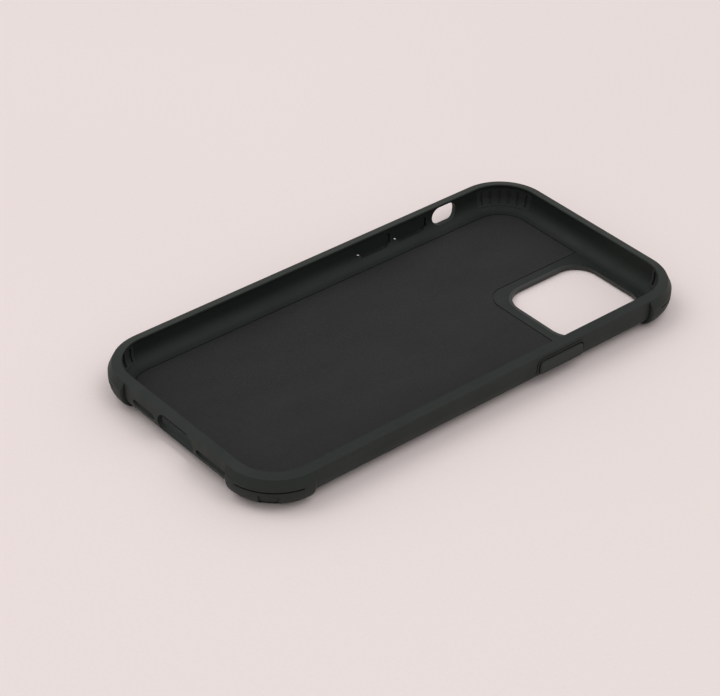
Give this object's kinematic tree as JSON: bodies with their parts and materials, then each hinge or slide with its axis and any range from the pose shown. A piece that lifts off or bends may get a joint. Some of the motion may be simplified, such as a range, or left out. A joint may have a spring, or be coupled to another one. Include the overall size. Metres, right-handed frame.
{
  "type": "phone case",
  "caption": "Slim protective phone case: soft bumper frame with flared corners, rigid back, camera guard ring, inner dampers and sliding side buttons.",
  "frame": {"origin": "centre of the plane the case rests on when it lies on its back", "axes": "+Z out of the phone's screen, +Y to the phone's top end, +X to the side with the power button"},
  "size_m": [0.0766, 0.1492, 0.0101],
  "materials": {
    "soft_frame": "soft-touch matte, very dark green",
    "hard_back": "fine satin texture, very dark green",
    "lining": "short-pile microfibre, charcoal",
    "guard_ring": "satin, very dark green",
    "damper": "matte elastomer, dark grey green",
    "button": "satin, very dark green"
  },
  "bodies": {
    "case": {"bumper_frame": "soft_frame", "back_plate": "hard_back", "back_lining": "lining", "camera_ring": "guard_ring", "corner_damper_top_right": "damper", "corner_damper_top_left": "damper", "corner_damper_bottom_right": "damper", "corner_damper_bottom_left": "damper"},
    "power": {"power_button": "button"},
    "volume_up": {"volume_up_button": "button"},
    "volume_down": {"volume_down_button": "button"}
  },
  "joints": [
    {"name": "power_press", "type": "slide", "parent": "case", "child": "power", "axis": [-1, 0, 0], "range_m": [0, 0.00035], "stiffness_N_per_m": 400},
    {"name": "volume_up_press", "type": "slide", "parent": "case", "child": "volume_up", "axis": [1, 0, 0], "range_m": [0, 0.00035], "stiffness_N_per_m": 400},
    {"name": "volume_down_press", "type": "slide", "parent": "case", "child": "volume_down", "axis": [1, 0, 0], "range_m": [0, 0.00035], "stiffness_N_per_m": 400}
  ]
}
